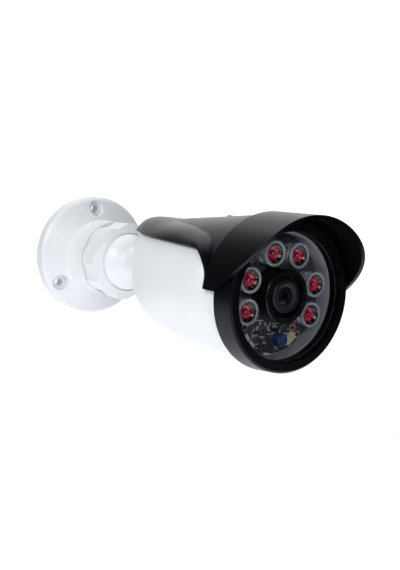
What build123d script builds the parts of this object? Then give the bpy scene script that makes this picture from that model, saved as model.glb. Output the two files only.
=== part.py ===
# Bullet security camera on a ball-jointed wall bracket.
#
# Frame: the wall is the plane y = 0 and the origin is the centre of the wall plate's back face.
# The camera looks along -Y and +Z is up.  "reach" values are distances from the wall along -Y;
# "depth" values are distances behind the front rim of the camera's bezel, along the head's axis.
from build123d import *
from math import asin, cos, pi, radians, sin, sqrt
import os

os.makedirs("parts", exist_ok=True)

# ---------------------------------------------------------------- overall sizes
bezel_reach = 182.4          # front rim of the bezel, from the wall
head_drop = 1.0              # the head's axis lies this far below the bracket's axis

# ---------------------------------------------------------------- wall bracket
plate_radius = 34.6
plate_back_round = 1.0
plate_rim_height = 7.5       # height of the plate's rim off the wall
plate_rim_round = 1.6
plate_face_top = 12.4        # where the conical face meets the boss
boss_reach = 30.0
gasket_inner_radius = 19.5   # the gasket lies inside the circle of screws
gasket_outer_radius = 25.0
gasket_thickness = 1.5
screw_circle_radius = 28.0
screw_hole_radius = 2.2
screw_head_radius = 4.5
screw_head_depth = 3.0       # how deep the head sinks below the sloping face
screw_hole_count = 3
screw_pattern_turn = 8.0     # degrees, anticlockwise seen from the front
plate_back_relief_radius = 18.0
plate_back_relief_depth = 9.0
cable_bore_radius = 6.5

ball_radius = 17.0
ball_reach = 39.4            # centre of the ball, from the wall
ball_gap = 0.35              # between the ball and what holds it
liner_step = 2.0             # the liner is this much smaller than the ball
liner_radius = ball_radius - liner_step
liner_fit = 0.1              # running fit of the liner in its bore
liner_seat_reach = 22.0
liner_length = 7.4
liner_bore_radius = 8.6

spigot_wall = 1.0
spigot_radius = ball_radius + ball_gap + spigot_wall     # threaded end of the plate, inside the lock nut
spigot_reach = 36.2
nut_fit = 0.1                # thread running fit
nut_wall = 2.95
nut_radius = spigot_radius + nut_wall
boss_step = 0.1              # the plate's boss stands proud of the nut
boss_radius = nut_radius + boss_step
nut_gap = 0.7                # shows between the boss and the nut
nut_length = 13.4
nut_face_rise = 1.9          # the nut's face is a low cone
nut_hold = 1.3               # the nut's mouth is this much smaller than the ball
nut_opening_radius = ball_radius - nut_hold
nut_lip = 1.0                # how far the lip stands in before it is turned to size
nut_flute_count = 8
nut_flute_depth = 1.6
nut_flute_radius = 14.0
nut_edge_chamfer = 0.5

neck_radius = 8.6
neck_blend = 2.6             # the neck swells by this much where it meets the ball
neck_blend_length = 3.0
neck_root = 3.0              # the neck's root runs this far into the ball
neck_flare_length = 9.0
flange_radius = 13.6
flange_thickness = 2.4
flange_hole_radius = 0.8     # spanner holes in the flange's rim
flange_hole_depth = 3.0
flange_hole_count = 4
flange_hole_turn = 232.0     # degrees, of the first hole
stub_radius = 7.0
stub_length = 12.0
stem_bore_radius = 3.6
flange_gap = 1.0             # holds the stem seal
seal_clearance = 0.1
stem_seal_width = 2.4
stem_nut_thickness = 4.0
stem_nut_across_flats = 19.0

# ---------------------------------------------------------------- head shell
head_length = 106.0          # from the bezel's front rim to the housing's rear face
collar_radius = 32.3
collar_length = 16.0         # straight part, measured from the bezel's front rim
barrel_taper = 0.09          # radius lost per millimetre behind the collar
barrel_depth = 86.0
barrel_nose_length = 14.0    # the barrel's rear end runs down into the pods
barrel_nose_drop = 7.0
wall = 2.2
clear_of = 2.0               # cutters run past what they cut by this much
rear_boss_radius = 12.0
rear_boss_length = 6.0
stub_fit = 0.1

# Each station of the side pods: depth, backward lean (degrees), half width, top and bottom.
pod_stations = [
    (16.5, 17.0, 31.4, 18.0, 31.2),
    (20.5, 16.0, 34.2, 21.4, 32.1),
    (31.0, 12.0, 35.0, 22.8, 31.9),
    (46.0, 6.0, 34.9, 23.6, 31.2),
    (62.0, 2.0, 33.8, 24.2, 30.2),
    (77.0, 0.0, 30.8, 25.0, 28.2),
    (89.0, 0.0, 26.2, 26.0, 25.0),
    (98.5, 0.0, 20.2, 25.6, 20.6),
    (head_length, 0.0, 13.4, 20.6, 14.6),
]
pod_square_top = 3.6         # superellipse powers of a pod section
pod_square_bottom = 2.0
pod_points = 24

# ---------------------------------------------------------------- sunshield
shield_gap = 0.4
shield_wall = 2.0
hood_radius = 36.1
hood_wall = 1.8
hood_rear_depth = 15.0
hood_web = 2.3
hood_overhang = 13.8         # how far the hood's crown stands ahead of the bezel
shield_hem_depth = 8.6       # foremost point of the shield's lower hem
shield_hem_rear = 17.6
hem_corner = 1.2             # cut corner at the hem's front end
hood_edge_points = [(-11.6, 22.5), (-6.4, 14.0)]         # (depth, height) along the hood's swept edge
fender_corner_points = [(19.9, 9.0), (24.8, 14.9)]       # (depth, height) round the fender's corner
fender_corner_depth = 33.0
shield_tail = 8.0            # the cutting outline runs on past the housing
shield_rim_height = 17.0     # the fender's rim above the head's axis, at its front corner
shield_rim_rise = 4.0        # rim climbs by this much on its way to the rear
shield_screw_depth = 47.0
shield_screw_radius = 1.5
shield_screw_head_radius = 3.0
shield_screw_head_height = 1.0
shield_screw_head_round = 0.6
shield_screw_length = 5.5
shield_screw_fit = 0.15
shield_screw_end_gap = 0.4   # under the screw's tip
pillar_floor = 1.0
shield_screw_sink = 0.6      # the head sits in a shallow round flat

# ---------------------------------------------------------------- bezel and window
bezel_front_radius = 33.0
bezel_rear_radius = 33.85
bezel_depth = 10.8
bezel_edge = 0.9
bezel_mouth_radius = 28.85
bezel_ledge_radius = 27.9
bezel_ledge_rear = 6.1
bezel_thread_radius = 31.2
bezel_fit = 0.1
glass_depth = 1.0
glass_thickness = 1.8
glass_fit = 0.1
glass_tape = 0.3
seal_thickness = 1.0
seal_width = 1.5

# ---------------------------------------------------------------- boards inside the window
board_radius = 28.4
board_fit = 0.3
board_depth = 13.1
board_thickness = 1.6
trim_front_radius = 27.7
trim_rear_radius = 26.9
ledge_radius = 26.0
ledge_length = 3.0

cup_radius = 5.75
cup_mouth_radius = 4.6
cup_depth = 6.0
cup_rim_height = 1.0
cup_body_radius = 5.35
led_radius = 2.5
led_flange_step = 0.4
led_flange_radius = led_radius + led_flange_step
led_cup_fit = 0.2
cup_floor_radius = led_flange_radius + led_cup_fit
led_height = 4.6
led_flange_height = 0.8
led_places = [(6.97, 17.97), (18.66, 5.88), (18.15, -7.73)]   # right-hand side, mirrored to the left

photocell_place = (5.4, -19.8)
photocell_radius = 2.8
photocell_height = 4.6
photocell_round = 0.5
socket_place = (12.2, -19.6)
socket_turn = 45.0
socket_size = (6.0, 3.4, 2.4)
board_hole_places = [(14.3, -14.8), (17.4, -17.8), (-14.2, 14.4), (-13.4, -15.2)]
board_hole_radius = 0.95

standoff_places = [(-14.2, 14.4), (14.3, -14.8)]
standoff_radius = 2.2
standoff_screw_radius = 0.9
standoff_screw_head_radius = 1.7
standoff_screw_head_height = 1.2
standoff_screw_reach = 5.0
sensor_board_size = 32.0
sensor_board_corner = 2.0
sensor_board_depth = 30.0
sensor_board_thickness = 1.6
sensor_size = 8.0
sensor_height = 1.3
video_socket_place = (0, -10)
video_socket_size = (12.0, 4.5, 5.0)

# ---------------------------------------------------------------- lens
light_shield_depth = 3.05
light_shield_edge = 0.5
light_shield_step = 2.4
lens_front_depth = 3.8
lens_radius = 7.4
lens_shield_gap = 0.85       # round the lens, inside its light shield
light_shield_bore_radius = lens_radius + lens_shield_gap
light_shield_lip = 1.05
light_shield_mouth_radius = light_shield_bore_radius + light_shield_lip
light_shield_wall = 3.65
light_shield_radius = light_shield_bore_radius + light_shield_wall
lens_rim = 1.8
lens_mouth_radius = lens_radius - lens_rim
lens_edge = 0.4
lens_lip = 0.6               # from the crown of the front glass to the lip that holds it
lens_pocket_length = 6.0
lens_head_gap = 0.8          # between the lens's head and its holder
lens_rear_glass_thickness = 2.0
lens_rear_glass_inset = 1.0
lens_glass_depth = 4.9
lens_head_step = 1.4
lens_thread_radius = lens_radius - lens_head_step
lens_barrel_wall = 1.6
lens_rear_glass_radius = lens_thread_radius - lens_barrel_wall
lens_thread_fit = 0.08
lens_rear_depth = 22.0
lens_glass_lip = 0.2
lens_glass_radius = lens_mouth_radius - lens_glass_lip
lens_glass_thickness = 3.0
lens_glass_crown = 1.2
holder_front_depth = 11.5
holder_wall = 1.9
holder_radius = lens_thread_radius + holder_wall
board_bore_gap = 0.9
board_bore_radius = holder_radius + board_bore_gap
holder_base = 17.0
holder_base_thickness = 6.4
holder_base_corner = 1.5
holder_overlap = 0.5         # the tube runs this far into the base
sensor_window_margin = 0.3
sensor_headroom = 0.6
filter_slot_height = 2.4
filter_slot_wall = 1.2
carrier_border = 1.6         # frame around the two panes
carrier_thickness = 1.6
pane_size = 7.0
pane_thickness = 0.6
pane_rib = 1.5               # between the two panes
pane_pitch = pane_size + pane_rib                        # travel that swaps one pane for the other
filter_gap = 0.35
coil_size = (9.0, 5.0, 6.0)
coil_offset = 12.2
coil_corner = 1.0


# ---------------------------------------------------------------- planes and shared shapes
bracket_axis = Axis((0, 0, 0), (0, 1, 0))
head_axis = Axis((0, 0, -head_drop), (0, 1, 0))
bracket_profile_plane = Plane.XY
head_profile_plane = Plane(origin=(0, 0, -head_drop), x_dir=(1, 0, 0), z_dir=(0, 0, 1))


def depth_y(depth):
    """Y coordinate of a point this far behind the bezel's front rim."""
    return depth - bezel_reach


def cross_plane(depth, lean=0.0):
    """A plane across the head: local x is +X, local y is up, and it faces forward."""
    tilt = radians(lean)
    return Plane(origin=(0, depth_y(depth), -head_drop), x_dir=(1, 0, 0), z_dir=(0, -cos(tilt), sin(tilt)))


def turn_bracket(outline, mode=Mode.ADD):
    """Turn an outline of (radius, reach) points about the bracket's axis."""
    with BuildSketch(bracket_profile_plane) as profile:
        with BuildLine():
            Polyline(*[(radius, -reach) for radius, reach in outline], close=True)
        make_face()
    revolve(profile.sketch, axis=bracket_axis, mode=mode)


def turn_head(outline, mode=Mode.ADD):
    """Turn an outline of (radius, depth) points about the head's axis."""
    with BuildSketch(head_profile_plane) as profile:
        with BuildLine():
            Polyline(*[(radius, depth_y(depth)) for radius, depth in outline], close=True)
        make_face()
    revolve(profile.sketch, axis=head_axis, mode=mode)


def ring(inner, outer, near, far, mode=Mode.ADD):
    """A plain ring on the head's axis between two depths."""
    turn_head([(inner, near), (outer, near), (outer, far), (inner, far)], mode=mode)


def pod_section(half_width, top, bottom, grow):
    """One closed curve of a pod: square-shouldered above the axis, elliptical below."""
    points = []
    for step in range(pod_points):
        angle = 2 * pi * step / pod_points
        power = pod_square_top if sin(angle) > 0 else pod_square_bottom
        height = (top if sin(angle) > 0 else bottom) + grow
        across = abs(cos(angle) / (half_width + grow)) ** power
        radius = (across + abs(sin(angle) / height) ** power) ** (-1 / power)
        points.append((radius * cos(angle), radius * sin(angle)))
    return points


def add_pods(grow, mode=Mode.ADD):
    """The side pods and belly as one loft, grown by an even amount."""
    sections = []
    for index, (depth, lean, half_width, top, bottom) in enumerate(pod_stations):
        shift = grow if index == len(pod_stations) - 1 else 0.0
        with BuildSketch(cross_plane(depth + shift, lean)) as section:
            with BuildLine():
                Spline(*pod_section(half_width, top, bottom, grow), periodic=True)
            make_face()
        sections.append(section.sketch)
    loft(sections, mode=mode)


def barrel_radius(depth):
    """Radius of the housing's barrel, which tapers behind the collar."""
    return collar_radius - barrel_taper * max(0.0, depth - collar_length)


def add_barrel(grow, near, far, mode=Mode.ADD):
    """The tapered barrel between two depths and its nose, grown by an even amount."""
    outline = [(0, near), (barrel_radius(near) + grow, near)]
    if near < collar_length < far:
        outline.append((barrel_radius(collar_length) + grow, collar_length))
    nose_radius = barrel_radius(barrel_depth) - barrel_nose_drop
    outline += [(barrel_radius(far) + grow, far), (nose_radius + grow, far + barrel_nose_length),
                (0, far + barrel_nose_length)]
    turn_head(outline, mode=mode)


def finish(piece, name):
    """Label a finished piece and write it out."""
    piece.part.label = name
    export_step(piece.part, f"parts/{name}.step")


# ================================================================ wall bracket
# The plate, its boss, the ball's seat and the thread for the lock nut are one moulding.
with BuildPart() as wall_plate:
    turn_bracket([
        (0, 0), (plate_radius, 0), (plate_radius, plate_rim_height - plate_rim_round),
        (plate_radius - plate_rim_round, plate_rim_height), (boss_radius, plate_face_top),
        (boss_radius, boss_reach), (spigot_radius, boss_reach), (spigot_radius, spigot_reach), (0, spigot_reach),
    ])
    turn_bracket([
        (0, 0), (plate_back_relief_radius, 0), (plate_back_relief_radius, plate_back_relief_depth),
        (cable_bore_radius, plate_back_relief_depth), (cable_bore_radius, liner_seat_reach),
        (liner_radius + liner_fit, liner_seat_reach), (liner_radius + liner_fit, liner_seat_reach + liner_length),
        (0, liner_seat_reach + liner_length),
    ], mode=Mode.SUBTRACT)
    turn_bracket([
        (gasket_inner_radius, 0), (gasket_outer_radius, 0), (gasket_outer_radius, gasket_thickness),
        (gasket_inner_radius, gasket_thickness),
    ], mode=Mode.SUBTRACT)
    with Locations((0, -ball_reach, 0)):
        Sphere(ball_radius + ball_gap, mode=Mode.SUBTRACT)
    face_slope = (plate_face_top - plate_rim_height) / (plate_radius - plate_rim_round - boss_radius)
    face_reach = plate_rim_height + (plate_radius - plate_rim_round - screw_circle_radius) * face_slope
    with BuildSketch(Plane.XZ):
        with PolarLocations(screw_circle_radius, screw_hole_count, start_angle=90 + screw_pattern_turn):
            Circle(screw_hole_radius)
    extrude(amount=plate_face_top, mode=Mode.SUBTRACT)
    with BuildSketch(Plane.XZ.offset(face_reach - screw_head_depth)):
        with PolarLocations(screw_circle_radius, screw_hole_count, start_angle=90 + screw_pattern_turn):
            Circle(screw_head_radius)
    extrude(amount=screw_head_depth + plate_face_top, mode=Mode.SUBTRACT)
    rim_edge = wall_plate.edges().filter_by(GeomType.CIRCLE).group_by(SortBy.RADIUS)[-1].sort_by(Axis.Y)[0]
    fillet(rim_edge, plate_back_round)
finish(wall_plate, "wall_plate")

# A foam ring let into the plate's back face keeps water out of the cable bore.
with BuildPart() as wall_gasket:
    turn_bracket([
        (gasket_inner_radius, 0), (gasket_outer_radius, 0), (gasket_outer_radius, gasket_thickness),
        (gasket_inner_radius, gasket_thickness),
    ])
finish(wall_gasket, "wall_gasket")

# The friction liner turns in the plate's bore and its dished face carries the ball.
with BuildPart() as ball_liner:
    turn_bracket([
        (liner_bore_radius, liner_seat_reach + liner_fit), (liner_radius, liner_seat_reach + liner_fit),
        (liner_radius, liner_seat_reach + liner_length), (liner_bore_radius, liner_seat_reach + liner_length),
    ])
    with Locations((0, -ball_reach, 0)):
        Sphere(ball_radius + ball_gap, mode=Mode.SUBTRACT)
finish(ball_liner, "ball_liner")

# Scalloped lock nut: it screws over the plate's spigot and pulls the ball onto the liner.
nut_rear = boss_reach + nut_gap
nut_front = nut_rear + nut_length
with BuildPart() as lock_nut:
    turn_bracket([
        (spigot_radius + nut_fit, nut_rear), (nut_radius - nut_edge_chamfer, nut_rear),
        (nut_radius, nut_rear + nut_edge_chamfer), (nut_radius, nut_front - nut_edge_chamfer),
        (nut_radius - nut_edge_chamfer, nut_front), (nut_opening_radius, nut_front + nut_face_rise),
        (nut_opening_radius - nut_lip, nut_front + nut_face_rise),
        (nut_opening_radius - nut_lip, spigot_reach + nut_gap),
        (spigot_radius + nut_fit, spigot_reach + nut_gap),
    ])
    with Locations((0, -ball_reach, 0)):
        Sphere(ball_radius + ball_gap, mode=Mode.SUBTRACT)
    turn_bracket([
        (0, nut_rear), (nut_opening_radius, nut_rear), (nut_opening_radius, nut_front + nut_face_rise + clear_of),
        (0, nut_front + nut_face_rise + clear_of),
    ], mode=Mode.SUBTRACT)
    flute_centre = nut_radius - nut_flute_depth + nut_flute_radius
    with BuildSketch(Plane.XZ.offset(nut_rear - clear_of)):
        with PolarLocations(flute_centre, nut_flute_count, start_angle=180 / nut_flute_count):
            Circle(nut_flute_radius)
    extrude(amount=nut_length + nut_face_rise + 2 * clear_of, mode=Mode.SUBTRACT)
finish(lock_nut, "lock_nut")

# ================================================================ ball and stem
# Ball, neck, flared flange and threaded stub are one moulding with the cable's bore down the middle.
housing_rear_reach = bezel_reach - head_length
flange_front = housing_rear_reach - flange_gap
flange_rear = flange_front - flange_thickness
neck_front = flange_rear - neck_flare_length
neck_rear = ball_reach + ball_radius * cos(asin(neck_radius / ball_radius)) + neck_blend_length
blend_radius = neck_radius + neck_blend
blend_start = ball_reach + sqrt(ball_radius ** 2 - blend_radius ** 2)
root_reach = blend_start - neck_root
stub_front = flange_front + stub_length
with BuildPart() as ball_stem:
    with Locations((0, -ball_reach, 0)):
        Sphere(ball_radius)
    with BuildSketch(bracket_profile_plane) as stem_profile:
        with BuildLine():
            Polyline((0, -root_reach), (blend_radius, -root_reach), (blend_radius, -blend_start))
            Spline((blend_radius, -blend_start), (neck_radius, -neck_rear),
                   tangents=[(-1.0, -0.6), (0, -1)])
            Line((neck_radius, -neck_rear), (neck_radius, -neck_front))
            Spline((neck_radius, -neck_front), (flange_radius, -flange_rear), tangents=[(0, -1), (0.9, -0.5)])
            Polyline((flange_radius, -flange_rear), (flange_radius, -flange_front), (stub_radius, -flange_front),
                     (stub_radius, -stub_front), (0, -stub_front), (0, -root_reach))
        make_face()
    revolve(stem_profile.sketch, axis=bracket_axis)
    turn_bracket([
        (0, ball_reach - ball_radius - clear_of), (stem_bore_radius, ball_reach - ball_radius - clear_of),
        (stem_bore_radius, stub_front + clear_of), (0, stub_front + clear_of),
    ], mode=Mode.SUBTRACT)
    # Small holes in the flange's edge take a pin spanner.
    for number in range(flange_hole_count):
        angle = radians(flange_hole_turn + 360 * number / flange_hole_count)
        outward = (cos(angle), 0, sin(angle))
        edge_point = (flange_radius * cos(angle), -(flange_front + flange_rear) / 2, flange_radius * sin(angle))
        with BuildSketch(Plane(origin=edge_point, z_dir=outward)):
            Circle(flange_hole_radius)
        extrude(amount=-flange_hole_depth, mode=Mode.SUBTRACT)
finish(ball_stem, "ball_stem")

# A soft ring fills the gap between the flange and the housing's rear face.
with BuildPart() as stem_seal:
    turn_bracket([
        (stub_radius + stub_fit, flange_front), (stub_radius + stub_fit + stem_seal_width, flange_front),
        (stub_radius + stub_fit + stem_seal_width, housing_rear_reach - seal_clearance),
        (stub_radius + stub_fit, housing_rear_reach - seal_clearance),
    ])
finish(stem_seal, "stem_seal")

# A hexagon nut inside the housing holds the head on the stem's stub.
stem_nut_rear = housing_rear_reach + rear_boss_length + stub_fit
with BuildPart() as stem_nut:
    with BuildSketch(Plane.XZ.offset(stem_nut_rear)):
        RegularPolygon(stem_nut_across_flats / 2, 6, major_radius=False)
        Circle(stub_radius, mode=Mode.SUBTRACT)
    extrude(amount=stem_nut_thickness)
finish(stem_nut, "stem_nut")

# ================================================================ head shell
# White housing: front collar, tapered barrel, side pods and belly, and a bored boss at the rear.
with BuildPart() as rear_housing:
    add_barrel(0, bezel_depth + bezel_fit, barrel_depth)
    add_pods(0)
    add_pods(-wall, mode=Mode.SUBTRACT)
    add_barrel(-wall, 0, barrel_depth, mode=Mode.SUBTRACT)
    with BuildSketch(Plane.XZ.offset(housing_rear_reach)):
        Circle(rear_boss_radius)
    extrude(amount=rear_boss_length)
    with BuildSketch(Plane.XZ.offset(housing_rear_reach - clear_of)):
        Circle(stub_radius + stub_fit)
    extrude(amount=rear_boss_length + 2 * clear_of, mode=Mode.SUBTRACT)
    # Threaded spigot for the bezel, and the ledge that the front board sits on.
    spigot_front = bezel_ledge_rear + seal_thickness
    spigot_outer = bezel_thread_radius - bezel_fit
    pocket_radius = board_radius + board_fit
    ring(collar_radius - wall, 2 * collar_radius, 0, bezel_depth + bezel_fit, mode=Mode.SUBTRACT)
    ring(pocket_radius, spigot_outer, spigot_front, board_depth + board_thickness + ledge_length)
    ring(ledge_radius, spigot_outer, board_depth + board_thickness, board_depth + board_thickness + ledge_length)
    # Pillar that takes the sunshield's screw.
    screw_y = depth_y(shield_screw_depth)
    screw_seat = barrel_radius(shield_screw_depth) - head_drop
    with BuildSketch(Plane.XY.offset(screw_seat - shield_screw_length - pillar_floor)):
        with Locations((0, screw_y)):
            Circle(shield_screw_head_radius)
    extrude(amount=shield_screw_length)
    with BuildSketch(Plane.XY.offset(screw_seat - shield_screw_length)):
        with Locations((0, screw_y)):
            Circle(shield_screw_radius)
    extrude(amount=shield_screw_length + clear_of, mode=Mode.SUBTRACT)
finish(rear_housing, "rear_housing")

# Black sunshield: hood, barrel and flared fenders in one skin, kept above its rim line.
shield_skin = shield_gap + shield_wall
crown = (depth_y(-hood_overhang), hood_radius + clear_of)
hood_corner = (depth_y(shield_hem_depth - hem_corner), hem_corner)
hem_rear = (depth_y(shield_hem_rear), 0)
rim_start = (depth_y(fender_corner_depth), shield_rim_height)
rim_end_y = depth_y(head_length + shield_tail)
with BuildPart() as shield_reach_zone:
    with BuildSketch(Plane.YZ) as side_view:
        with BuildLine():
            Spline(crown, *[(depth_y(depth), height) for depth, height in hood_edge_points], hood_corner,
                   tangents=[(0.05, -1), (0.75, -0.65)])
            Polyline(hood_corner, (depth_y(shield_hem_depth), 0), hem_rear)
            Spline(hem_rear, *[(depth_y(depth), height) for depth, height in fender_corner_points], rim_start,
                   tangents=[(0.05, 1), (1, 0.04)])
            Polyline(rim_start, (rim_end_y, shield_rim_height + shield_rim_rise), (rim_end_y, hood_radius + clear_of),
                     crown)
        make_face()
    extrude(amount=hood_radius + clear_of, both=True)
with BuildPart() as sunshield:
    add_barrel(shield_skin, hood_rear_depth - hood_web, barrel_depth)
    add_pods(shield_skin)
    add_pods(shield_gap, mode=Mode.SUBTRACT)
    add_barrel(shield_gap, 0, barrel_depth, mode=Mode.SUBTRACT)
    ring(hood_radius - hood_wall, hood_radius, -hood_overhang - clear_of, hood_rear_depth)
    ring(collar_radius + shield_gap, hood_radius, hood_rear_depth - hood_web, hood_rear_depth)
    with Locations((0, 0, -head_drop)):
        add(shield_reach_zone.part, mode=Mode.INTERSECT)
    with BuildSketch(Plane.XY.offset(screw_seat - shield_skin)):
        with Locations((0, screw_y)):
            Circle(shield_screw_radius + shield_screw_fit)
    extrude(amount=2 * shield_skin + clear_of, mode=Mode.SUBTRACT)
    head_seat = screw_seat + shield_skin - shield_screw_sink
    with BuildSketch(Plane.XY.offset(head_seat)):
        with Locations((0, screw_y)):
            Circle(shield_screw_head_radius + shield_screw_fit)
    extrude(amount=shield_skin, mode=Mode.SUBTRACT)
finish(sunshield, "sunshield")

# Low round-headed screw on the crown of the barrel.
with BuildPart() as sunshield_screw:
    with BuildSketch(Plane.XY.offset(head_seat)):
        with Locations((0, screw_y)):
            Circle(shield_screw_head_radius)
    extrude(amount=shield_screw_head_height)
    fillet(sunshield_screw.edges().sort_by(Axis.Z)[-1], shield_screw_head_round)
    with BuildSketch(Plane.XY.offset(screw_seat - shield_screw_length + shield_screw_end_gap)):
        with Locations((0, screw_y)):
            Circle(shield_screw_radius)
    extrude(amount=head_seat - screw_seat + shield_screw_length - shield_screw_end_gap)
finish(sunshield_screw, "sunshield_screw")

# ================================================================ bezel and window
with BuildPart() as bezel_ring:
    turn_head([
        (bezel_mouth_radius, 0), (bezel_front_radius - bezel_edge, 0), (bezel_front_radius, bezel_edge),
        (bezel_rear_radius, bezel_depth), (bezel_thread_radius, bezel_depth), (bezel_thread_radius, bezel_ledge_rear),
        (bezel_ledge_radius, bezel_ledge_rear), (bezel_ledge_radius, glass_depth + glass_thickness + glass_tape),
        (bezel_mouth_radius, glass_depth + glass_thickness + glass_tape),
    ])
finish(bezel_ring, "bezel_ring")

with BuildPart() as bezel_seal:
    ring(bezel_thread_radius - bezel_fit - seal_width, bezel_thread_radius - bezel_fit, bezel_ledge_rear, spigot_front)
finish(bezel_seal, "bezel_seal")

with BuildPart() as window_glass:
    ring(0, bezel_mouth_radius - glass_fit, glass_depth, glass_depth + glass_thickness)
finish(window_glass, "window_glass")

with BuildPart() as window_tape:
    ring(bezel_ledge_radius, bezel_mouth_radius - glass_fit, glass_depth + glass_thickness,
         glass_depth + glass_thickness + glass_tape)
finish(window_tape, "window_tape")

# Grey ring that lines the space behind the window and clamps the front board on its ledge.
with BuildPart() as trim_ring:
    turn_head([
        (trim_front_radius, bezel_ledge_rear), (board_radius, bezel_ledge_rear), (board_radius, board_depth),
        (trim_rear_radius, board_depth),
    ])
finish(trim_ring, "trim_ring")

# ================================================================ front board with the lamps
with BuildPart() as led_board:
    with BuildSketch(cross_plane(board_depth)):
        Circle(board_radius)
        Circle(board_bore_radius, mode=Mode.SUBTRACT)
        with Locations(*board_hole_places):
            Circle(board_hole_radius, mode=Mode.SUBTRACT)
    extrude(amount=-board_thickness)
finish(led_board, "led_board")

lamp_places = led_places + [(-across, up) for across, up in led_places]
for number, place in enumerate(lamp_places, start=1):
    # Clear cup with a thick pale rim and a dished inside, standing on the board.
    with BuildPart() as led_cup:
        with BuildSketch(cross_plane(board_depth)):
            with Locations(place):
                Circle(cup_body_radius)
        extrude(amount=board_depth - cup_depth - cup_rim_height)
        with BuildSketch(cross_plane(cup_depth + cup_rim_height)):
            with Locations(place):
                Circle(cup_radius)
        extrude(amount=cup_rim_height)
        dish_depth = board_depth - cup_depth
        with BuildSketch(cross_plane(cup_depth)):
            with Locations(place):
                Circle(cup_mouth_radius)
        with BuildSketch(cross_plane(board_depth)):
            with Locations(place):
                Circle(cup_floor_radius)
        loft(mode=Mode.SUBTRACT)
    finish(led_cup, f"led_cup_{number}")

    # Round lamp with a flange and a domed end, inside its cup.
    with BuildPart() as led:
        with BuildSketch(cross_plane(board_depth)):
            with Locations(place):
                Circle(led_flange_radius)
        extrude(amount=led_flange_height)
        with BuildSketch(cross_plane(board_depth - led_flange_height)):
            with Locations(place):
                Circle(led_radius)
        extrude(amount=led_height - led_radius)
        dome_centre = cross_plane(board_depth - led_flange_height - led_height + led_radius)
        with Locations(dome_centre.from_local_coords((place[0], place[1], 0))):
            Sphere(led_radius)
    finish(led, f"led_{number}")

with BuildPart() as photocell:
    with BuildSketch(cross_plane(board_depth)):
        with Locations(photocell_place):
            Circle(photocell_radius)
    extrude(amount=photocell_height)
    fillet(photocell.edges().sort_by(Axis.Y)[0], photocell_round)
finish(photocell, "photocell")

with BuildPart() as led_socket:
    with BuildSketch(cross_plane(board_depth)):
        with Locations(Location((*socket_place, 0), (0, 0, socket_turn))):
            Rectangle(socket_size[0], socket_size[1])
    extrude(amount=socket_size[2])
finish(led_socket, "led_socket")

# ================================================================ lens
with BuildPart() as light_shield:
    step_depth = light_shield_depth + light_shield_step
    turn_head([
        (light_shield_mouth_radius, light_shield_depth), (light_shield_radius - light_shield_edge, light_shield_depth),
        (light_shield_radius, light_shield_depth + light_shield_edge), (light_shield_radius, board_depth),
        (light_shield_bore_radius, board_depth), (light_shield_bore_radius, step_depth),
        (light_shield_mouth_radius - light_shield_edge, step_depth),
    ])
finish(light_shield, "light_shield")

with BuildPart() as lens_barrel:
    turn_head([
        (lens_mouth_radius, lens_front_depth), (lens_radius - lens_edge, lens_front_depth),
        (lens_radius, lens_front_depth + lens_edge), (lens_radius, holder_front_depth - lens_head_gap),
        (lens_thread_radius, holder_front_depth - lens_head_gap), (lens_thread_radius, lens_rear_depth),
        (lens_rear_glass_radius, lens_rear_depth), (lens_rear_glass_radius, lens_glass_depth + lens_pocket_length),
        (lens_glass_radius, lens_glass_depth + lens_pocket_length), (lens_glass_radius, lens_glass_depth + lens_lip),
    ])
finish(lens_barrel, "lens_barrel")

with BuildPart() as lens_front_glass:
    with BuildSketch(head_profile_plane) as glass_profile:
        with BuildLine():
            crown_y = depth_y(lens_glass_depth)
            rim_y = depth_y(lens_glass_depth + lens_glass_crown)
            Polyline((0, crown_y + lens_glass_thickness), (0, crown_y))
            ThreePointArc((0, crown_y), (lens_glass_radius / 2, crown_y + lens_glass_crown / 4),
                          (lens_glass_radius, rim_y))
            Polyline((lens_glass_radius, rim_y), (lens_glass_radius, crown_y + lens_glass_thickness),
                     (0, crown_y + lens_glass_thickness))
        make_face()
    revolve(glass_profile.sketch, axis=head_axis)
finish(lens_front_glass, "lens_front_glass")

with BuildPart() as lens_rear_glass:
    ring(0, lens_rear_glass_radius, lens_rear_depth - lens_rear_glass_inset - lens_rear_glass_thickness,
         lens_rear_depth - lens_rear_glass_inset)
finish(lens_rear_glass, "lens_rear_glass")

# The holder stands on the sensor board; a slot through its base guides the filter's carrier.
slot_depth = sensor_board_depth - sensor_height - sensor_headroom - filter_slot_wall - filter_slot_height
holder_base_front = sensor_board_depth - holder_base_thickness
with BuildPart() as lens_holder:
    ring(0, holder_radius, holder_front_depth, holder_base_front + holder_overlap)
    with BuildSketch(cross_plane(sensor_board_depth)):
        RectangleRounded(holder_base, holder_base, holder_base_corner)
    extrude(amount=holder_base_thickness)
    ring(0, lens_thread_radius + lens_thread_fit, 0, slot_depth, mode=Mode.SUBTRACT)
    with BuildSketch(cross_plane(sensor_board_depth)):
        Rectangle(sensor_size + 2 * sensor_window_margin, sensor_size + 2 * sensor_window_margin)
    extrude(amount=sensor_board_depth - slot_depth, mode=Mode.SUBTRACT)
    with BuildSketch(cross_plane(slot_depth + filter_slot_height)):
        Rectangle(holder_base + clear_of, pane_size + 2 * carrier_border + 2 * filter_gap)
    extrude(amount=filter_slot_height, mode=Mode.SUBTRACT)
finish(lens_holder, "lens_holder")

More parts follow.
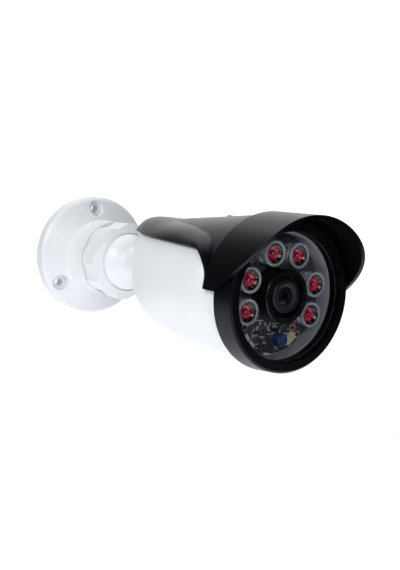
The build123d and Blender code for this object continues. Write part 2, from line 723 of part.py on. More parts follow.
# Day and night filter: two panes ride in a flat carrier that slides across behind the lens.
carrier_depth = slot_depth + (filter_slot_height + carrier_thickness) / 2
pane_depth = carrier_depth - (carrier_thickness - pane_thickness) / 2
pane_places = [(0, 0), (pane_pitch, 0)]
with BuildPart() as filter_carrier:
    with BuildSketch(cross_plane(carrier_depth)):
        with Locations((pane_pitch / 2, 0)):
            Rectangle(pane_pitch + pane_size + 2 * carrier_border, pane_size + 2 * carrier_border)
        with Locations(*pane_places):
            Rectangle(pane_size, pane_size, mode=Mode.SUBTRACT)
    extrude(amount=carrier_thickness)
finish(filter_carrier, "filter_carrier")

for pane_name, pane_place in zip(["filter_glass", "clear_pane"], pane_places):
    with BuildPart() as pane:
        with BuildSketch(cross_plane(pane_depth)):
            with Locations(pane_place):
                Rectangle(pane_size, pane_size)
        extrude(amount=pane_thickness)
    finish(pane, pane_name)

# The coil that shifts the carrier stands beside the holder.
with BuildPart() as filter_coil:
    with BuildSketch(cross_plane(sensor_board_depth)):
        with Locations((0, coil_offset)):
            RectangleRounded(coil_size[0], coil_size[1], coil_corner)
    extrude(amount=coil_size[2])
finish(filter_coil, "filter_coil")

# ================================================================ sensor board
with BuildPart() as sensor_board:
    with BuildSketch(cross_plane(sensor_board_depth)):
        RectangleRounded(sensor_board_size, sensor_board_size, sensor_board_corner)
        with Locations(*standoff_places):
            Circle(standoff_screw_radius, mode=Mode.SUBTRACT)
    extrude(amount=-sensor_board_thickness)
finish(sensor_board, "sensor_board")

with BuildPart() as image_sensor:
    with BuildSketch(cross_plane(sensor_board_depth)):
        Rectangle(sensor_size, sensor_size)
    extrude(amount=sensor_height)
finish(image_sensor, "image_sensor")

with BuildPart() as video_socket:
    with BuildSketch(cross_plane(sensor_board_depth + sensor_board_thickness)):
        with Locations(video_socket_place):
            Rectangle(video_socket_size[0], video_socket_size[1])
    extrude(amount=-video_socket_size[2])
finish(video_socket, "video_socket")

# Two threaded standoffs tie the sensor board to the front board, each with a screw at both ends.
with BuildPart() as board_standoffs:
    with BuildSketch(cross_plane(sensor_board_depth)):
        with Locations(*standoff_places):
            Circle(standoff_radius)
            Circle(standoff_screw_radius, mode=Mode.SUBTRACT)
    extrude(amount=sensor_board_depth - board_depth - board_thickness)
finish(board_standoffs, "board_standoffs")

with BuildPart() as board_screws:
    with BuildSketch(cross_plane(sensor_board_depth + sensor_board_thickness)):
        with Locations(*standoff_places):
            Circle(standoff_screw_head_radius)
    extrude(amount=-standoff_screw_head_height)
    with BuildSketch(cross_plane(sensor_board_depth + sensor_board_thickness)):
        with Locations(*standoff_places):
            Circle(standoff_screw_radius)
    extrude(amount=sensor_board_thickness + standoff_screw_reach)
finish(board_screws, "board_screws")
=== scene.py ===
import math

import bmesh
import bpy
from mathutils import Matrix, Vector


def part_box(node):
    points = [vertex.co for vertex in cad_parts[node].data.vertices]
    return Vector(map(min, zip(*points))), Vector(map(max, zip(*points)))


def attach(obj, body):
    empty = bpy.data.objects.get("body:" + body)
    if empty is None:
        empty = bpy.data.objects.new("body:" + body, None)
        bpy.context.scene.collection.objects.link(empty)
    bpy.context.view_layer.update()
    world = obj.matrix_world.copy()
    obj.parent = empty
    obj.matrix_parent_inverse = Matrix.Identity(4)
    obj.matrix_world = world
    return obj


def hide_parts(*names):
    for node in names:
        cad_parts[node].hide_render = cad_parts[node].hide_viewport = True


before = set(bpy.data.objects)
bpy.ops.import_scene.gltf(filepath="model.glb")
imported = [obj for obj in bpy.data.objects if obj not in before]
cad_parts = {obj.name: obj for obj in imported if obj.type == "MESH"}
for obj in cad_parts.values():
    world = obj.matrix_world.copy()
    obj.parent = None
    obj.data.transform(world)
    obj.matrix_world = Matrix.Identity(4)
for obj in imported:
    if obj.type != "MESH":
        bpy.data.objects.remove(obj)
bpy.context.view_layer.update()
scene = bpy.context.scene
MM = 0.001


# ---------------------------------------------------------------- wall plate and its gasket
# The plate is injection-moulded white ABS with a fine satin skin, screwed flat to the wall.
# A ring of black closed-cell foam is let into its back.
def linear(code, alpha=1.0):
    """An sRGB hex colour as linear RGBA."""
    parts = [int(code[i:i + 2], 16) / 255 for i in (1, 3, 5)]
    return [p / 12.92 if p <= 0.04045 else ((p + 0.055) / 1.055) ** 2.4 for p in parts] + [alpha]


def add(material, kind, inputs=None, **settings):
    """Add a shader node, set its properties, and set or link its inputs."""
    made = material.node_tree.nodes.new(kind)
    for name, value in settings.items():
        setattr(made, name, value)
    for name, value in (inputs or {}).items():
        if isinstance(value, bpy.types.NodeSocket):
            material.node_tree.links.new(value, made.inputs[name])
        else:
            made.inputs[name].default_value = value
    return made


def new_material(name, **surface):
    """A material with an empty Principled surface whose plain sockets are set here."""
    material = bpy.data.materials.new(name)
    material.use_nodes = True
    material.node_tree.nodes.clear()
    shader = add(material, "ShaderNodeBsdfPrincipled", surface)
    add(material, "ShaderNodeOutputMaterial", {"Surface": shader.outputs[0]})
    return material, shader


def link(material, source, shader, socket):
    material.node_tree.links.new(source, shader.inputs[socket])


def grain(material, size_mm, detail=3.0):
    """Noise on object coordinates whose blobs are this many millimetres across."""
    where = add(material, "ShaderNodeTexCoord").outputs["Object"]
    return add(material, "ShaderNodeTexNoise", {
        "Vector": where, "Scale": 1000 / size_mm, "Detail": detail}).outputs[0]


def between(material, factor, low, high, low_in=0.3, high_in=0.7):
    """A number that runs from low to high as the factor crosses its middle range."""
    return add(material, "ShaderNodeMapRange", {
        "Value": factor, "From Min": low_in, "From Max": high_in, "To Min": low, "To Max": high}).outputs[0]


def tint(material, factor, first, second):
    """Two colours mixed by a factor."""
    mixed = add(material, "ShaderNodeMix", {"Factor": factor}, data_type="RGBA")
    mixed.inputs[6].default_value = linear(first)
    mixed.inputs[7].default_value = linear(second)
    return mixed.outputs[2]


def bumped(material, height, depth_mm, strength=1.0):
    """A surface normal raised by a height pattern this many millimetres deep."""
    return add(material, "ShaderNodeBump", {
        "Height": height, "Distance": depth_mm * MM, "Strength": strength}).outputs[0]


def moulded(name, colour, shade, rough, grain_mm, grain_depth_mm, **surface):
    """A moulded plastic or rubber: slight flow shading, uneven gloss and a fine skin texture."""
    material, shader = new_material(name, **surface)
    flow = grain(material, 14.0, 2.0)
    skin = grain(material, grain_mm, 3.0)
    link(material, tint(material, between(material, flow, 0, 1), colour, shade), shader, "Base Color")
    link(material, between(material, skin, rough[0], rough[1]), shader, "Roughness")
    link(material, bumped(material, skin, grain_depth_mm), shader, "Normal")
    return material


def dress(material, *nodes):
    """Give CAD nodes one material."""
    for name in nodes:
        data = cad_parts[name].data
        data.materials.clear()
        data.materials.append(material)


# White ABS: nearly pure white with a cool cast, satin, with a very faint orange-peel skin.
white_abs = moulded("white_abs_satin", "#EBEEF2", "#E8EBF0", (0.32, 0.38), 3.0, 0.0004, IOR=1.5)
# Closed-cell foam: matt black, cells about 0.4 mm across.
foam = moulded("foam_black", "#1B1B1C", "#262627", (0.85, 1.0), 0.4, 0.08)
dress(white_abs, "wall_plate", "ball_stem", "lock_nut")
dress(foam, "wall_gasket", "window_tape")

# ---------------------------------------------------------------- ball liner, stem seal and stem nut
# Nylon liner in the plate, rubber ring and zinc-plated hexagon nut on the stem: mostly hidden.
# The zinc is a bright pale grey with uneven gloss.
nylon = moulded("nylon_natural", "#E4E2D8", "#DAD8CE", (0.4, 0.55), 1.0, 0.01)
rubber = moulded("rubber_black", "#131314", "#1C1C1D", (0.6, 0.75), 0.8, 0.02)
zinc, zinc_shader = new_material("zinc_plated_steel", Metallic=1.0)
zinc_grain = grain(zinc, 0.9)
link(zinc, tint(zinc, zinc_grain, "#B9BCC2", "#A4A8B0"), zinc_shader, "Base Color")
link(zinc, between(zinc, zinc_grain, 0.22, 0.4), zinc_shader, "Roughness")
dress(nylon, "ball_liner")
dress(rubber, "stem_seal", "bezel_seal")
dress(zinc, "stem_nut", "board_screws")

# ---------------------------------------------------------------- rear housing
# One white moulding with a collar, side pods and belly, in the same satin ABS as the plate.
# It takes the bezel's thread in front and the stem's stub behind.
dress(white_abs, "rear_housing")

# ---------------------------------------------------------------- sunshield and its screw
# Black ABS moulded against a fine-blasted tool, so it is satin with a pin-prick sparkle.
# The blast grain is about 0.35 mm, drawn a little coarser to show.
black_abs, black_shader = new_material("black_abs_satin", IOR=1.45)
black_shader.inputs["Specular IOR Level"].default_value = 0.3
black_shader.inputs["Specular Tint"].default_value = linear("#C4CCE8")
blast = grain(black_abs, 0.45, 4.0)
flow = grain(black_abs, 25.0, 2.0)
blasted = between(black_abs, blast, 0, 1)
link(black_abs, tint(black_abs, blasted, "#020203", "#07080C"), black_shader, "Base Color")
link(black_abs, between(black_abs, flow, 0.3, 0.36), black_shader, "Roughness")
link(black_abs, bumped(black_abs, blast, 0.008), black_shader, "Normal")
dress(black_abs, "sunshield", "bezel_ring")
black_steel = moulded("blackened_steel", "#0E0E10", "#17171A", (0.3, 0.42), 0.6, 0.01, Metallic=0.6)
dress(black_steel, "sunshield_screw")

# ---------------------------------------------------------------- window
# A flat disc of clear acrylic, polished both sides and barely visible but for its reflections.
# The filter's clear pane is dressed the same.
clear, clear_shader = new_material("acrylic_window", Alpha=0.05, IOR=1.49)
smudge = grain(clear, 9.0, 2.0)
link(clear, tint(clear, smudge, "#0B0D12", "#12151C"), clear_shader, "Base Color")
link(clear, between(clear, smudge, 0.02, 0.05), clear_shader, "Roughness")
dress(clear, "window_glass", "clear_pane")

# ---------------------------------------------------------------- grey trim ring
# Grey moulded ABS liner between the window and the lamp board. It has a satin skin and hides
# the board's edge.
trim = moulded("grey_trim_satin", "#A9A9B5", "#9C9CA8", (0.42, 0.55), 0.8, 0.01)
dress(trim, "trim_ring")

# ---------------------------------------------------------------- lamp board
# A black glass-fibre board with copper-ringed holes, printed tracks and small soldered parts.
# The tracks, 3.2 mm apart, are drawn coarser than real ones so that they show.
BEZEL_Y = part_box("bezel_ring")[0].y
HEAD_Z = (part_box("window_glass")[0].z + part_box("window_glass")[1].z) / 2
BOARD_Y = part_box("led_board")[0].y


def head_point(across, depth, up):
    """A point in the head: across and up from its axis, depth behind the bezel's rim, in mm."""
    return Vector((across * MM, BEZEL_Y + depth * MM, HEAD_Z + up * MM))


BOARD_DEPTH = (BOARD_Y - BEZEL_Y) / MM
board_mat, board_shader = new_material("solder_mask_black", IOR=1.5)
where = add(board_mat, "ShaderNodeTexCoord").outputs["Object"]
tracks = add(board_mat, "ShaderNodeTexVoronoi", {"Vector": where, "Scale": 1000 / 3.2},
             feature="DISTANCE_TO_EDGE", distance="CHEBYCHEV")
track_edge = between(board_mat, tracks.outputs[0], 1, 0, 0.05, 0.09)
link(board_mat, tint(board_mat, track_edge, "#3A3E4A", "#565B69"), board_shader, "Base Color")
link(board_mat, between(board_mat, grain(board_mat, 1.5), 0.28, 0.42), board_shader, "Roughness")
link(board_mat, bumped(board_mat, track_edge, 0.03), board_shader, "Normal")
dress(board_mat, "led_board", "sensor_board")


def finish_piece(name, bm, body, materials, smooth=True, clean=True):
    """Turn a bmesh into a piece that rides on a CAD body."""
    if clean:
        bmesh.ops.remove_doubles(bm, verts=bm.verts, dist=1e-7)
        bmesh.ops.recalc_face_normals(bm, faces=bm.faces)
    data = bpy.data.meshes.new(name)
    bm.to_mesh(data)
    bm.free()
    for material in materials:
        data.materials.append(material)
    if smooth:
        data.shade_smooth()
        data.set_sharp_from_angle(angle=math.radians(38))
    piece = bpy.data.objects.new(name, data)
    scene.collection.objects.link(piece)
    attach(piece, body)
    return piece


def spin_profile(bm, profile, centre, steps=64, paint=0):
    """Spin a line of (radius, depth) points round an axis along the head, as in a lathe."""
    spun = [bm.verts.new(head_point(centre[0] + radius, depth, centre[1])) for radius, depth in profile]
    edges = [bm.edges.new(pair) for pair in zip(spun, spun[1:])]
    before = set(bm.faces)
    bmesh.ops.spin(bm, geom=spun + edges, cent=head_point(centre[0], 0, centre[1]), axis=(0, 1, 0),
                   angle=math.tau, steps=steps, use_merge=True)
    for face in bm.faces:
        if face not in before:
            face.material_index = paint


def block(bm, centre, size, turn=0.0, bevel=0.0, paint=0):
    """A small bevelled block on the board: centre (across, up), size (wide, tall, thick) in mm."""
    wide, tall, thick = size
    made = bmesh.ops.create_cube(bm, size=1.0)["verts"]
    shape = (Matrix.Translation(head_point(centre[0], BOARD_DEPTH - thick / 2, centre[1]))
             @ Matrix.Rotation(math.radians(-turn), 4, "Y")
             @ Matrix.Diagonal((wide * MM, thick * MM, tall * MM, 1)))
    bmesh.ops.transform(bm, matrix=shape, verts=made)
    faces = {face for vert in made for face in vert.link_faces}
    for face in faces:
        face.material_index = paint
    if bevel:
        edges = list({edge for vert in made for edge in vert.link_edges})
        bmesh.ops.bevel(bm, geom=edges, offset=bevel * MM, segments=2, affect="EDGES",
                        profile=0.5, material=-1)


copper = moulded("copper_pad", "#E3B49B", "#B98468", (0.25, 0.4), 0.6, 0.01, Metallic=0.25)
hole_places = [(14.3, -14.8), (17.4, -17.8), (-14.2, 14.4), (-13.4, -15.2)]
HOLE_RADIUS = 0.95
PAD_WIDTH = 0.8
PAD_RAISED = 0.2
PAD_OUTER = HOLE_RADIUS + PAD_WIDTH
pad_profile = [(HOLE_RADIUS, 0.01), (HOLE_RADIUS, 0.14), (HOLE_RADIUS + 0.1, PAD_RAISED),
               (PAD_OUTER - 0.1, PAD_RAISED), (PAD_OUTER, 0.12), (PAD_OUTER, 0.01)]
for number, place in enumerate(hole_places, start=1):
    bm = bmesh.new()
    spin_profile(bm, [(radius, BOARD_DEPTH - raised) for radius, raised in pad_profile], place, 40)
    finish_piece(f"hole_ring_{number}", bm, "head", [copper])

# Surface-mounted parts: ceramic bodies, tinned ends, two moulded chips with their legs.
solder = moulded("tinned_solder", "#F0F1F3", "#C9CBD0", (0.2, 0.35), 0.5, 0.02, Metallic=0.2)
ceramic = moulded("chip_ceramic", "#CFC8BA", "#B5AD9F", (0.45, 0.6), 0.5, 0.01)
chip_black = moulded("chip_moulding", "#111214", "#1A1B1E", (0.5, 0.65), 0.3, 0.01)
silk = moulded("silk_ink", "#F1F2F4", "#DCDEE1", (0.6, 0.8), 0.3, 0.005)
chip_places = [
    (-6.4, -15.4, 90, 0), (-7.9, -16.7, 0, 1), (-2.1, -13.5, 90, 0), (0.2, -17.0, 90, 1), (3.2, -13.8, 90, 0),
    (4.9, -13.6, 90, 1), (6.6, -16.5, 90, 0), (8.0, -14.2, 28, 1), (-9.9, -12.9, 0, 0), (-5.2, -13.2, 90, 0),
    (11.3, -16.4, 90, 1), (-3.5, -19.3, 0, 0), (5.4, -23.7, 0, 0), (6.3, -25.5, 90, 1), (8.3, -23.2, 0, 0),
    (10.5, -22.3, 90, 0), (-5.7, -23.3, 90, 1), (-1.5, -21.8, 0, 0), (-8.9, -19.0, 90, 0), (1.2, -13.1, 0, 1),
    (-0.4, -14.8, 90, 0), (9.6, -17.6, 0, 0),
]
CHIP_SIZES = ((1.6, 0.8), (2.0, 1.25))   # (length, width) of a pale capacitor and a black resistor
CHIP_BODY_SHARE, CHIP_END_SHARE, CHIP_END_REACH = 0.6, 0.26, 0.38
bm = bmesh.new()
for across, up, turn, kind in chip_places:
    length, width = CHIP_SIZES[kind]
    block(bm, (across, up), (length * CHIP_BODY_SHARE, width * 0.96, 0.5), turn, 0.05, paint=kind)
    for side in (-1, 1):
        reach = side * length * CHIP_END_REACH
        spot = (across + reach * math.cos(math.radians(turn)), up + reach * math.sin(math.radians(turn)))
        block(bm, spot, (length * CHIP_END_SHARE, width, 0.56), turn, 0.06, paint=2)
chips = finish_piece("board_chips", bm, "head", [ceramic, chip_black, solder], clean=False)

LEG_PITCH, LEG_REACH = 0.95, 1.15
bm = bmesh.new()
for place in ((-7.0, -17.2), (3.6, -16.0)):
    block(bm, place, (3.0, 1.6, 1.0), 0, 0.12, paint=0)
    for leg in (-1, 0, 1):
        for side in (-1, 1):
            spot = (place[0] + leg * LEG_PITCH, place[1] + side * LEG_REACH)
            block(bm, spot, (0.4, 0.8, 0.3), 0, 0.04, paint=1)
finish_piece("board_driver_chips", bm, "head", [chip_black, solder], clean=False)

# White solder tags of the flying leads, at the board's lower left edge, and the printed outlines.
bm = bmesh.new()
for place, turn in (((-11.6, -19.6), -52), ((-8.6, -22.4), -42), ((0.4, -27.0), -4)):
    block(bm, place, (3.4, 1.5, 0.9), turn, 0.2)
finish_piece("board_lead_tags", bm, "head", [silk], clean=False)
bm = bmesh.new()
INK = 0.03
printed_lines = [((-6.8, -12.0), (7.6, 0.22)), ((1.2, -11.9), (3.0, 0.18)), ((3.6, -18.0), (3.4, 0.16)),
                 ((-7.0, -19.0), (3.4, 0.16)), ((8.2, -20.0), (0.16, 2.6)), ((-10.0, 0.2), (0.18, 5.0))]
for place, size in printed_lines:
    block(bm, place, (*size, INK))
finish_piece("board_print", bm, "head", [silk], clean=False)

# ---------------------------------------------------------------- lamp cups
# Each clear cup has a smooth cylinder, a thick frosted front ring and a dished inside that throws
# the lamp's light forward. It is moulded polycarbonate and clips over its lamp.
LAMP_PLACES = [(6.97, 17.97), (18.66, 5.88), (18.15, -7.73), (-6.97, 17.97), (-18.66, 5.88), (-18.15, -7.73)]
CUP_DEPTH = (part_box("led_cup_1")[0].y - BEZEL_Y) / MM
cup_clear, cup_shader = new_material("polycarbonate_clear", IOR=1.58)
cup_where = add(cup_clear, "ShaderNodeTexCoord").outputs["Object"]
stretched = add(cup_clear, "ShaderNodeMapping", {"Vector": cup_where, "Scale": (0.3, 1.0, 0.3)}).outputs[0]
streak = add(cup_clear, "ShaderNodeTexNoise", {
    "Vector": stretched, "Scale": 900.0, "Detail": 2.0}).outputs["Fac"]
banded = between(cup_clear, streak, 0, 1, 0.35, 0.65)
link(cup_clear, tint(cup_clear, banded, "#FFFFFF", "#C2CAD4"), cup_shader, "Base Color")
link(cup_clear, between(cup_clear, streak, 0.85, 0.2, 0.4, 0.62), cup_shader, "Alpha")
link(cup_clear, between(cup_clear, streak, 0.04, 0.12), cup_shader, "Roughness")
cup_frost = moulded("polycarbonate_frosted", "#B6BCC6", "#959CA6", (0.18, 0.3), 1.6, 0.01,
                    Alpha=0.84, IOR=1.58)
# The dish is painted near-black as a painted dark reflection, and its facets light grey as painted glints.
dish_painted_dark = moulded("dish_painted_dark_reflection", "#07080A", "#101216", (0.12, 0.25), 0.6, 0.01)
painted_glint = moulded("dish_painted_glint", "#B9BDC3", "#7E838A", (0.1, 0.2), 0.5, 0.01)
# The red ring stands for the red lamp mirrored in the dish. It is a painted reflection with a faint painted
# glow (emission), and its pink spots are painted highlights.
painted_glow, painted_glow_shader = new_material("lamp_red_painted_glow")
spot = grain(painted_glow, 1.3, 2.0)
painted_highlight_mask = between(painted_glow, spot, 0, 1, 0.45, 0.62)
link(painted_glow, tint(painted_glow, painted_highlight_mask, "#7A0424", "#E0305A"), painted_glow_shader, "Base Color")
painted_glow_mask = between(painted_glow, spot, 0, 1, 0.42, 0.66)
link(painted_glow, tint(painted_glow, painted_glow_mask, "#A80630", "#FF6488"), painted_glow_shader, "Emission Color")
link(painted_glow, between(painted_glow, spot, 0.1, 0.3), painted_glow_shader, "Roughness")
painted_glow_shader.inputs["Emission Strength"].default_value = 0.16
heart, heart_shader = new_material("lamp_epoxy_dark")
heart_spot = grain(heart, 1.2, 2.0)
link(heart, tint(heart, heart_spot, "#5A1230", "#2C0815"), heart_shader, "Base Color")
link(heart, between(heart, heart_spot, 0.05, 0.15), heart_shader, "Roughness")
# The epoxy centre also carries a faint painted glow.
heart_shader.inputs["Emission Color"].default_value = linear("#8A1238")
heart_shader.inputs["Emission Strength"].default_value = 0.1


def behind_cup(profile):
    """A line of (radius, distance behind the cup's mouth) points as (radius, depth) points."""
    return [(radius, CUP_DEPTH + sunk) for radius, sunk in profile]


CUP_BODY_RADIUS = 5.35
cup_rim = [(CUP_BODY_RADIUS, 1.1), (5.7, 1.0), (5.75, 0.3), (5.55, 0.05), (5.3, 0), (4.75, 0.02), (4.5, 0.15),
           (4.42, 0.5)]
cup_dish = [(4.42, 0.5), (4.1, 0.9), (2.85, 1.75)]
lamp_painted_glow_ring = [(2.9, 1.7), (2.6, 1.8), (1.9, 2.3), (1.45, 2.5)]
lamp_heart = [(1.45, 2.5), (1.3, 2.1), (0.8, 1.8), (0.45, 1.74)]
lamp_tip = [(0.45, 1.74), (0.3, 1.66), (0, 1.64)]
# Light grey facets round the dish are painted glints for the highlights its facets catch; some are left out,
# as the ones that catch no light.
DASHES = 15
DASH_RADIUS, DASH_SUNK, DASH_LEAN = 3.6, 1.2, -38
DASH_LONG, DASH_SHORT, DASH_THIN, DASH_DEEP = 0.6, 0.38, 0.12, 0.6
for number, place in enumerate(LAMP_PLACES, start=1):
    bm = bmesh.new()
    spin_profile(bm, [(CUP_BODY_RADIUS, BOARD_DEPTH - 0.02), (CUP_BODY_RADIUS, CUP_DEPTH + 1.1)], place)
    spin_profile(bm, behind_cup(cup_rim), place, paint=1)
    spin_profile(bm, behind_cup(cup_dish), place, paint=2)
    cup = finish_piece(f"lamp_cup_{number}", bm, "head", [cup_clear, cup_frost, dish_painted_dark])
    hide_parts(f"led_cup_{number}")

    bm = bmesh.new()
    for dash in range(DASHES):
        angle = math.tau * (dash + 0.35 * (number % 3)) / DASHES
        if dash % 5 == 1 or (math.cos(angle) > 0.55 and dash % 2):
            continue
        made = bmesh.ops.create_cube(bm, size=1.0)["verts"]
        tall = DASH_LONG if dash % 2 else DASH_SHORT
        spot = head_point(place[0] + DASH_RADIUS * math.cos(angle), CUP_DEPTH + DASH_SUNK,
                          place[1] + DASH_RADIUS * math.sin(angle))
        shape = (Matrix.Translation(spot)
                 @ Matrix.Rotation(-angle, 4, "Y") @ Matrix.Rotation(math.radians(DASH_LEAN), 4, "Z")
                 @ Matrix.Diagonal((tall * MM, DASH_THIN * MM, DASH_DEEP * MM, 1)))
        bmesh.ops.transform(bm, matrix=shape, verts=made)
    painted_glint_piece = finish_piece(f"lamp_painted_glints_{number}", bm, "head", [painted_glint], smooth=False, clean=False)

    bm = bmesh.new()
    for paint, profile in enumerate((lamp_painted_glow_ring, lamp_heart, lamp_tip)):
        spin_profile(bm, behind_cup(profile), place, 48, paint)
    lamp = finish_piece(f"lamp_{number}", bm, "head", [painted_glow, heart, trim])
    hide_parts(f"led_{number}")

# ---------------------------------------------------------------- photocell and lead socket
# The photocell is a blue-lacquered ceramic disc with a folded track under the lacquer.
# The socket is a moulded ivory nylon header with three ribs, turned to the board's corner.
photo_blue = moulded("photocell_lacquer", "#2C4A78", "#1F3962", (0.12, 0.25), 1.2, 0.01)
photo_track = moulded("photocell_track", "#3E6190", "#4E73A2", (0.2, 0.3), 0.8, 0.01)
dress(photo_blue, "photocell")
low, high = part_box("photocell")
PHOTO = (((low.x + high.x) / 2) / MM, ((low.z + high.z) / 2 - HEAD_Z) / MM)
bm = bmesh.new()
TRACK_RUNS = (1.7, 3.0, 3.4, 3.0, 1.7)
TRACK_PITCH, TRACK_WIDTH, TRACK_THICK, TRACK_RAISED = 0.85, 0.3, 0.08, 0.02
for row, run in enumerate(TRACK_RUNS, start=-2):
    made = bmesh.ops.create_cube(bm, size=1.0)["verts"]
    spot = head_point(PHOTO[0], (low.y - BEZEL_Y) / MM - TRACK_RAISED, PHOTO[1] + row * TRACK_PITCH)
    shape = Matrix.Translation(spot) @ Matrix.Diagonal((run * MM, TRACK_THICK * MM, TRACK_WIDTH * MM, 1))
    bmesh.ops.transform(bm, matrix=shape, verts=made)
finish_piece("photocell_track", bm, "head", [photo_track], clean=False)

ivory = moulded("nylon_ivory", "#F1EAD6", "#E2DAC4", (0.4, 0.55), 0.6, 0.01)
dress(ivory, "video_socket")
low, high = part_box("led_socket")
SOCKET = (((low.x + high.x) / 2) / MM, ((low.z + high.z) / 2 - HEAD_Z) / MM)
bm = bmesh.new()
SOCKET_TURN = 45
RIB_PITCH = 1.1
socket_angle = math.radians(SOCKET_TURN)
block(bm, SOCKET, (6.0, 3.4, 1.5), SOCKET_TURN, 0.15)
for rib in (-1, 0, 1):
    spot = (SOCKET[0] - rib * RIB_PITCH * math.sin(socket_angle),
            SOCKET[1] + rib * RIB_PITCH * math.cos(socket_angle))
    block(bm, spot, (5.8, 0.7, 2.4), SOCKET_TURN, 0.12)
socket = finish_piece("lamp_socket", bm, "head", [ivory], clean=False)
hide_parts("led_socket")

# ---------------------------------------------------------------- lens and its light shield
# A rubber ring stops lamp light reaching the lens. The lens barrel is black anodised aluminium with stepped
# rings, and its front glass carries a dark violet-green coating, drawn opaque with painted rings: a
# near-black centre as painted shade and lighter rings as painted reflections.
shield_black = moulded("rubber_satin_black", "#030405", "#07080A", (0.25, 0.35), 1.0, 0.002, IOR=1.45)
lens_black = moulded("lens_anodised", "#1A1C21", "#24272D", (0.3, 0.4), 0.7, 0.002)
dress(shield_black, "light_shield")
dress(lens_black, "lens_barrel", "lens_holder", "filter_carrier")
LENS_FRONT = (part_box("lens_barrel")[0].y - BEZEL_Y) / MM
# The retainer's lighter grey is a painted highlight on the anodised ring edges.
lens_painted_edge_light = moulded("lens_ring_painted_highlight", "#2E3238", "#3E434B", (0.25, 0.35), 0.7, 0.002)
retainer_steps = [(5.6, 0.02), (5.45, 0.25), (5.1, 0.32), (5.05, 0.6), (4.7, 0.72), (4.6, 0.95), (4.15, 1.02),
                  (4.1, 1.3)]
bm = bmesh.new()
spin_profile(bm, [(radius, LENS_FRONT + sunk) for radius, sunk in retainer_steps], (0, 0), 96)
finish_piece("lens_retainer", bm, "lens", [lens_painted_edge_light])
LENS_GLASS_RADIUS = 5.4
coated, coated_shader = new_material("lens_coating_painted_rings", IOR=1.35)
coated_where = add(coated, "ShaderNodeTexCoord").outputs["Object"]
axis_at = add(coated, "ShaderNodeMapping", {
    "Vector": coated_where, "Location": (0, 0, -HEAD_Z), "Scale": (1, 0, 1)}).outputs[0]
from_axis = add(coated, "ShaderNodeVectorMath", {0: axis_at}, operation="LENGTH").outputs["Value"]
rings = add(coated, "ShaderNodeValToRGB", {"Fac": add(coated, "ShaderNodeMapRange", {
    "Value": from_axis, "From Max": LENS_GLASS_RADIUS * MM}).outputs[0]})
# Painted rings: the near-black centre is painted shade deep in the lens, and the lighter rings are painted
# reflections of its inner rings.
painted_lens_rings = {0.36: "#06080B", 0.44: "#1C2328", 0.52: "#0C1013", 0.7: "#20272C", 0.82: "#0A0C0F"}
rings.color_ramp.elements[0].color = linear("#020203")
for position, code in painted_lens_rings.items():
    rings.color_ramp.elements.new(position).color = linear(code)
rings.color_ramp.elements[-1].color = linear("#0A0C0F")
link(coated, rings.outputs[0], coated_shader, "Base Color")
link(coated, between(coated, grain(coated, 2.0), 0.03, 0.06), coated_shader, "Roughness")
dress(coated, "lens_front_glass", "lens_rear_glass")

# ---------------------------------------------------------------- inside the head
# Brass standoffs, the infra-red cut filter, its coil and the sensor, seen only when opened.
# The filter's coating is pale blue, and the coil is lacquered copper wire.
brass = moulded("brass_turned", "#B99B5A", "#A5884A", (0.22, 0.35), 0.5, 0.01, Metallic=1.0)
dress(brass, "board_standoffs")
pane = moulded("filter_coating", "#7FB7C4", "#6FA3B4", (0.03, 0.08), 3.0, 0.001, Alpha=0.5)
dress(pane, "filter_glass")
coil = moulded("enamelled_copper", "#A4592F", "#8A4724", (0.25, 0.4), 0.3, 0.05, Metallic=0.9)
dress(coil, "filter_coil")
dress(chip_black, "image_sensor")

# ---------------------------------------------------------------- floor, lights and camera
# A plain white floor with a wide softbox overhead and two small lights at the left and in
# front, as on a product table. The camera stands left of the head and almost level with it.
floor_mat, floor_shader = new_material("floor_white", Roughness=0.6)
link(floor_mat, tint(floor_mat, grain(floor_mat, 400.0), "#FAFAFB", "#F6F7F9"), floor_shader, "Base Color")
floor_shader.inputs["Emission Color"].default_value = linear("#FFFFFF")
floor_shader.inputs["Emission Strength"].default_value = 0.45
bm = bmesh.new()
bmesh.ops.create_grid(bm, x_segments=1, y_segments=1, size=0.4)
bmesh.ops.translate(bm, verts=bm.verts, vec=(0, -0.1, -0.16))
floor_mesh = bpy.data.meshes.new("floor")
bm.to_mesh(floor_mesh)
bm.free()
floor_mesh.materials.append(floor_mat)
floor = bpy.data.objects.new("floor", floor_mesh)
scene.collection.objects.link(floor)

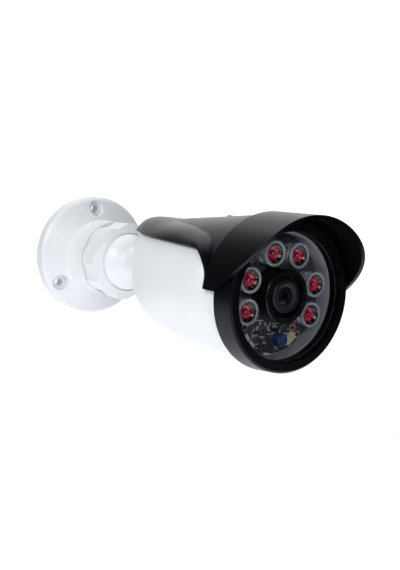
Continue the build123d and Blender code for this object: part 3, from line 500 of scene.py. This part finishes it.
# The studio's far end is a bright white sweep, and the rest of the room is nearly dark.
world = bpy.data.worlds.new("studio")
world.use_nodes = True
scene.world = world
sky = world.node_tree.nodes["Background"]
sky.inputs[0].default_value = linear("#FFFFFF")
heading = add(world, "ShaderNodeTexCoord").outputs["Generated"]
SWEEP_HEADING = (0.56, 0.8, 0.2)
far_side = add(world, "ShaderNodeVectorMath", {0: heading, 1: SWEEP_HEADING},
               operation="DOT_PRODUCT").outputs["Value"]
sweep = between(world, far_side, 0.04, 1.3, 0.6, 0.98)
seen = add(world, "ShaderNodeLightPath").outputs["Is Camera Ray"]
world.node_tree.links.new(add(world, "ShaderNodeMath", {0: sweep, 1: seen}, operation="MAXIMUM").outputs[0],
                          sky.inputs[1])


def softbox(name, place, aim, size, watts):
    """A rectangular area light that points at a place."""
    lamp = bpy.data.lights.new(name, "AREA")
    lamp.shape = "RECTANGLE"
    lamp.size, lamp.size_y = size
    lamp.energy = watts
    holder = bpy.data.objects.new(name, lamp)
    holder.location = place
    holder.rotation_euler = (Vector(aim) - Vector(place)).to_track_quat("-Z", "Y").to_euler()
    scene.collection.objects.link(holder)


softbox("softbox_top", (0.1, 0.0, 0.75), (0, -0.1, 0), (0.9, 0.7), 4.0)
softbox("softbox_key", (-0.7, -0.22, 0.33), (0, -0.1, 0), (0.3, 0.3), 3.1)
softbox("softbox_front", (-0.4, -0.85, 0.3), (0, -0.18, 0), (0.3, 0.3), 1.7)

azimuth, elevation, roll = math.radians(-36.24), math.radians(4.21), math.radians(6.6)
level = math.cos(elevation)
back = Vector((math.sin(azimuth) * level, -math.cos(azimuth) * level, math.sin(elevation)))
right = (-back).cross(Vector((0, 0, 1))).normalized()
up = right.cross(-back)
across = right * math.cos(roll) + up * math.sin(roll)
upright = up * math.cos(roll) - right * math.sin(roll)
view = bpy.data.cameras.new("view")
view.sensor_width = 36.0
view.lens = 52.04
view.clip_start = 0.01
camera = bpy.data.objects.new("view", view)
camera.matrix_world = Matrix.Translation((-0.2389, -0.44116, 0.02568)) @ Matrix(
    (across, upright, back)).transposed().to_4x4()
scene.collection.objects.link(camera)
scene.camera = camera
scene.view_settings.view_transform = "Standard"
